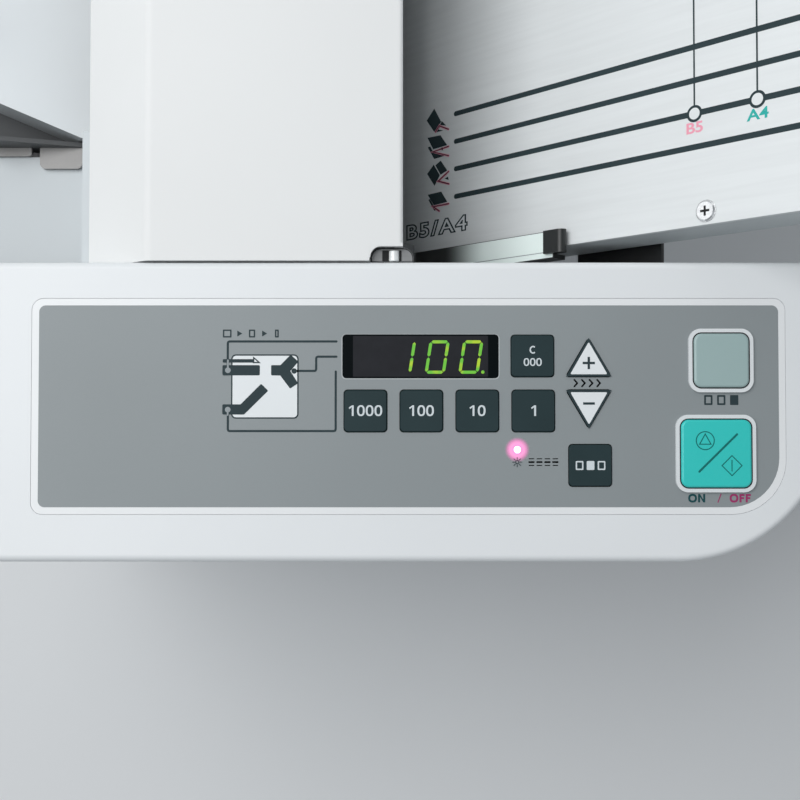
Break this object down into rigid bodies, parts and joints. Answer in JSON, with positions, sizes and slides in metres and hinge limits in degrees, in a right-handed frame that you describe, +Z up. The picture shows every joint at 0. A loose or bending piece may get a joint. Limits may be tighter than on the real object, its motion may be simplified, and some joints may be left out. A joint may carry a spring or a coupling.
{
  "type": "paper folding machine",
  "caption": "Desktop powered paper folding machine with a control console in front, a sloping feed table on the left, two buckle fold plates and a gear-driven set of fold rollers.",
  "frame": {"origin": "centre of the bounding box's underside, on the table that the feet stand on", "axes": "+X to the operator's right, along the first fold plate's rise; +Y away from the operator; +Z up"},
  "size_m": [0.7486, 0.524, 0.4152],
  "materials": {
    "foot_rubber": "soft black rubber, moulded",
    "zinc_steel": "folded zinc-plated sheet steel",
    "panel_paint": "pale grey powder coat",
    "rod_steel": "turned steel bar",
    "bearing_bronze": "oiled sintered bronze",
    "roller_rubber": "ground rubber sleeve on steel shaft",
    "gear_acetal": "natural acetal",
    "feed_rubber": "soft brown feed rubber",
    "belt_rubber": "black rubber flat belt",
    "motor_case": "black painted steel can",
    "console_plastic": "pale cool grey satin moulding",
    "tray_plastic": "grey moulding",
    "overlay_print": "grey printed film with a white border",
    "window_glass": "smoked window",
    "module_black": "black display block",
    "board_green": "green circuit board",
    "button_teal": "teal moulded button",
    "button_grey": "greenish grey moulded button",
    "bezel_plastic": "white moulded rims",
    "housing_plastic": "pale grey textured moulding",
    "shoulder_plastic": "pale grey moulding",
    "cover_plastic": "pale satin moulding",
    "chrome_steel": "polished steel",
    "lever_steel": "dark coated pressing with a bright arm",
    "table_plastic": "pale grey moulding",
    "guide_plastic": "grey moulding",
    "pad_cork": "cork rubber pad",
    "plate_satin": "satin silver printed sheet",
    "plate_frame": "grey anodised extrusion and sheet",
    "stop_plastic": "black moulding",
    "socket_black": "black moulding",
    "key_film": "dark printed key top",
    "arrow_film": "white printed key top"
  },
  "bodies": {
    "machine": {"base_pan": "zinc_steel", "button_bezels": "bezel_plastic", "console_overlay": "overlay_print", "console_shell": "console_plastic", "console_tray": "tray_plastic", "control_board": "board_green", "cover_screws": "chrome_steel", "display_module": "module_black", "display_window": "window_glass", "drive_motor": "motor_case", "exit_belt": "belt_rubber", "feed_table": "table_plastic", "feed_table_brackets": "zinc_steel", "fold_plate_supports": "zinc_steel", "frame_tie_rods": "rod_steel", "front_housing": "housing_plastic", "front_side_frame": "zinc_steel", "hinge_pins": "chrome_steel", "motor_bracket": "zinc_steel", "paper_guides": "zinc_steel", "power_inlet": "socket_black", "rear_housing": "housing_plastic", "rear_side_frame": "zinc_steel", "roller_bearings": "bearing_bronze", "rubber_feet": "foot_rubber", "separation_pad": "pad_cork", "shoulder_covers": "shoulder_plastic", "side_panels": "panel_paint", "stacker_tray": "housing_plastic"},
    "fold_roller_1": {"fold_roller_1": "roller_rubber"},
    "fold_roller_2": {"fold_roller_2": "roller_rubber"},
    "fold_roller_3": {"fold_roller_3": "roller_rubber"},
    "fold_roller_4": {"fold_roller_4": "roller_rubber"},
    "idler_gear": {"idler_gear": "gear_acetal"},
    "motor_pinion": {"motor_pinion": "gear_acetal"},
    "feed_roller": {"feed_roller": "feed_rubber"},
    "exit_roller": {"exit_roller": "roller_rubber"},
    "top_cover": {"top_cover": "cover_plastic"},
    "clamp_lever_front": {"clamp_lever_front": "lever_steel"},
    "clamp_lever_rear": {"clamp_lever_rear": "lever_steel"},
    "feed_guide_front": {"feed_guide_front": "guide_plastic"},
    "feed_guide_rear": {"feed_guide_rear": "guide_plastic"},
    "fold_plate_1_stop": {"fold_plate_1_stop": "stop_plastic"},
    "fold_plate_2": {"fold_plate_2": "zinc_steel"},
    "fold_plate_2_stop": {"fold_plate_2_stop": "stop_plastic"},
    "stacker_stop": {"stacker_stop": "guide_plastic"},
    "power_rocker": {"power_rocker": "socket_black"},
    "start_button": {"start_button": "button_teal"},
    "test_button": {"test_button": "button_grey"},
    "key_1000": {"key_1000": "key_film"},
    "key_100": {"key_100": "key_film"},
    "key_10": {"key_10": "key_film"},
    "key_1": {"key_1": "key_film"},
    "key_clear": {"key_clear": "key_film"},
    "key_mode": {"key_mode": "key_film"},
    "key_speed_up": {"key_speed_up": "arrow_film"},
    "key_speed_down": {"key_speed_down": "arrow_film"},
    "fold_plate_1": {"fold_plate_1_sheet": "plate_satin", "fold_plate_1_frame": "plate_frame", "fold_plate_1_screws": "chrome_steel"}
  },
  "joints": [
    {"name": "press_key_1000", "type": "slide", "parent": "machine", "child": "key_1000", "axis": [0, 0, -1], "range_m": [0, 0.0004], "stiffness_N_per_m": 300, "springref_m": -0.0005},
    {"name": "press_key_100", "type": "slide", "parent": "machine", "child": "key_100", "axis": [0, 0, -1], "range_m": [0, 0.0004], "stiffness_N_per_m": 300, "springref_m": -0.0005},
    {"name": "press_key_10", "type": "slide", "parent": "machine", "child": "key_10", "axis": [0, 0, -1], "range_m": [0, 0.0004], "stiffness_N_per_m": 300, "springref_m": -0.0005},
    {"name": "press_key_1", "type": "slide", "parent": "machine", "child": "key_1", "axis": [0, 0, -1], "range_m": [0, 0.0004], "stiffness_N_per_m": 300, "springref_m": -0.0005},
    {"name": "press_key_clear", "type": "slide", "parent": "machine", "child": "key_clear", "axis": [0, 0, -1], "range_m": [0, 0.0004], "stiffness_N_per_m": 300, "springref_m": -0.0005},
    {"name": "press_key_mode", "type": "slide", "parent": "machine", "child": "key_mode", "axis": [0, 0, -1], "range_m": [0, 0.0004], "stiffness_N_per_m": 300, "springref_m": -0.0005},
    {"name": "press_key_speed_up", "type": "slide", "parent": "machine", "child": "key_speed_up", "axis": [0, 0, -1], "range_m": [0, 0.0004], "stiffness_N_per_m": 300, "springref_m": -0.0005},
    {"name": "press_key_speed_down", "type": "slide", "parent": "machine", "child": "key_speed_down", "axis": [0, 0, -1], "range_m": [0, 0.0004], "stiffness_N_per_m": 300, "springref_m": -0.0005},
    {"name": "press_start_button", "type": "slide", "parent": "machine", "child": "start_button", "axis": [0, 0, -1], "range_m": [0, 0.0015], "stiffness_N_per_m": 300, "springref_m": -0.001},
    {"name": "press_test_button", "type": "slide", "parent": "machine", "child": "test_button", "axis": [0, 0, -1], "range_m": [0, 0.0015], "stiffness_N_per_m": 300, "springref_m": -0.001},
    {"name": "turn_fold_roller_2", "type": "hinge", "parent": "machine", "child": "fold_roller_2", "pos_m": [0.08912, 0.0287, 0.132], "axis": [0, 1, 0], "continuous": true},
    {"name": "turn_fold_roller_1", "type": "hinge", "parent": "machine", "child": "fold_roller_1", "pos_m": [0.08912, 0.0287, 0.1643], "axis": [0, 1, 0], "continuous": true},
    {"name": "turn_fold_roller_3", "type": "hinge", "parent": "machine", "child": "fold_roller_3", "pos_m": [0.12142, 0.0287, 0.132], "axis": [0, 1, 0], "continuous": true},
    {"name": "turn_fold_roller_4", "type": "hinge", "parent": "machine", "child": "fold_roller_4", "pos_m": [0.09473, 0.0287, 0.10019], "axis": [0, 1, 0], "continuous": true},
    {"name": "turn_idler_gear", "type": "hinge", "parent": "machine", "child": "idler_gear", "pos_m": [0.0652, 0.0287, 0.16809], "axis": [0, 1, 0], "continuous": true},
    {"name": "turn_feed_roller", "type": "hinge", "parent": "machine", "child": "feed_roller", "pos_m": [0.04777, 0.0287, 0.18492], "axis": [0, 1, 0], "continuous": true},
    {"name": "turn_motor_pinion", "type": "hinge", "parent": "machine", "child": "motor_pinion", "pos_m": [0.08262, 0.0287, 0.07921], "axis": [0, 1, 0], "continuous": true},
    {"name": "turn_exit_roller", "type": "hinge", "parent": "machine", "child": "exit_roller", "pos_m": [-0.02548, 0.0287, 0.082], "axis": [0, 1, 0], "continuous": true},
    {"name": "open_top_cover", "type": "hinge", "parent": "machine", "child": "top_cover", "pos_m": [0.09052, 0.0287, 0.213], "axis": [0, 1, 0], "range_deg": [0, 75]},
    {"name": "lift_clamp_front", "type": "hinge", "parent": "machine", "child": "clamp_lever_front", "pos_m": [0.10373, -0.1657, 0.16577], "axis": [0, 1, 0], "range_deg": [-25, 0]},
    {"name": "lift_clamp_rear", "type": "hinge", "parent": "machine", "child": "clamp_lever_rear", "pos_m": [0.10373, 0.2231, 0.16577], "axis": [0, 1, 0], "range_deg": [-25, 0]},
    {"name": "slide_feed_guide_front", "type": "slide", "parent": "machine", "child": "feed_guide_front", "axis": [0, 1, 0], "range_m": [0, 0.045]},
    {"name": "slide_feed_guide_rear", "type": "slide", "parent": "machine", "child": "feed_guide_rear", "axis": [0, 1, 0], "range_m": [-0.045, 0]},
    {"name": "draw_fold_plate_1", "type": "slide", "parent": "machine", "child": "fold_plate_1", "axis": [0.6997, 0, 0.7145], "range_m": [0, 0.04]},
    {"name": "set_fold_plate_1_stop", "type": "slide", "parent": "fold_plate_1", "child": "fold_plate_1_stop", "axis": [0.6997, 0, 0.7145], "range_m": [-0.17, 0.09]},
    {"name": "draw_fold_plate_2", "type": "slide", "parent": "machine", "child": "fold_plate_2", "axis": [0.848, 0, -0.5299], "range_m": [0, 0.04]},
    {"name": "set_fold_plate_2_stop", "type": "slide", "parent": "fold_plate_2", "child": "fold_plate_2_stop", "axis": [0.848, 0, -0.5299], "range_m": [-0.04, 0.025]},
    {"name": "slide_stacker_stop", "type": "slide", "parent": "machine", "child": "stacker_stop", "axis": [1, 0, 0], "range_m": [-0.06, 0.06]},
    {"name": "tip_power_rocker", "type": "hinge", "parent": "machine", "child": "power_rocker", "pos_m": [0.04452, 0.258, 0.05], "axis": [1, 0, 0], "range_deg": [-16, 0]}
  ],
  "couplings": [
    {"joint": "turn_fold_roller_1", "follows": "turn_fold_roller_2", "ratio": -1},
    {"joint": "turn_fold_roller_3", "follows": "turn_fold_roller_2", "ratio": -1},
    {"joint": "turn_fold_roller_4", "follows": "turn_fold_roller_2", "ratio": -1},
    {"joint": "turn_idler_gear", "follows": "turn_fold_roller_2", "ratio": 2},
    {"joint": "turn_feed_roller", "follows": "turn_fold_roller_2", "ratio": -1},
    {"joint": "turn_motor_pinion", "follows": "turn_fold_roller_2", "ratio": 2},
    {"joint": "turn_exit_roller", "follows": "turn_fold_roller_2", "ratio": -1},
    {"joint": "slide_feed_guide_rear", "follows": "slide_feed_guide_front", "ratio": -1}
  ]
}
